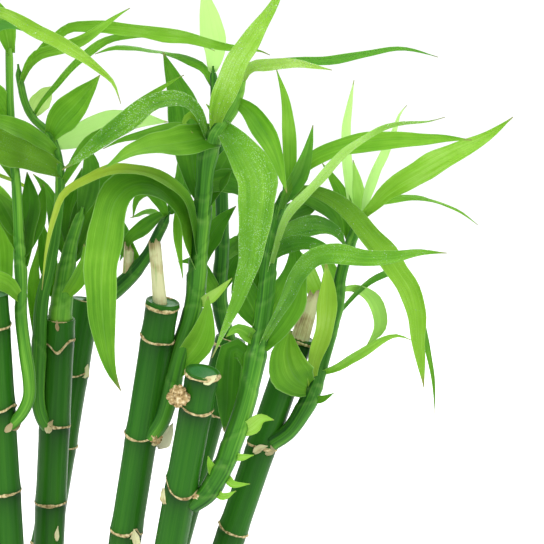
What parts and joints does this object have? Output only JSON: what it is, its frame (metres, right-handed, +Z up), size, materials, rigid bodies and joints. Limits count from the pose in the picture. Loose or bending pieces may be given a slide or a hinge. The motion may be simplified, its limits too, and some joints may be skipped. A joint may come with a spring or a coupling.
{
  "type": "potted lucky bamboo",
  "caption": "Lucky bamboo: a bundle of cut green canes with node rings and arching leafy shoots, fanning out of a plain round gravel-filled pot.",
  "frame": {"origin": "centre of the pot's underside, on the surface that it stands on", "axes": "+Z up, -Y towards the front of the plant, +X to the right as seen from the front"},
  "size_m": [0.5602, 0.3013, 0.6468],
  "materials": {
    "glazed_pot": "glossy glazed ceramic",
    "gravel": "matt river gravel",
    "cane_skin": "satin green bark",
    "leaf": "satin leaf",
    "dry_stub": "matt dry leaf sheath"
  },
  "bodies": {
    "root": {"pot": "glazed_pot", "gravel": "gravel", "cane_a": "cane_skin", "cane_b": "cane_skin", "cane_c": "cane_skin", "cane_d": "cane_skin", "cane_e": "cane_skin", "cane_f": "cane_skin", "cane_g": "cane_skin", "cane_h": "cane_skin", "cane_i": "cane_skin", "cane_j": "cane_skin", "shoot_a": "leaf", "shoot_l": "leaf", "shoot_m": "leaf", "shoot_b": "leaf", "shoot_c": "leaf", "shoot_d": "leaf", "shoot_e": "leaf", "shoot_f": "leaf", "shoot_g": "leaf", "shoot_h": "leaf", "shoot_i": "leaf", "shoot_j": "leaf", "stub_c": "dry_stub", "stub_d": "dry_stub", "stub_g": "dry_stub", "stub_h": "dry_stub", "stub_j": "dry_stub"}
  },
  "joints": []
}
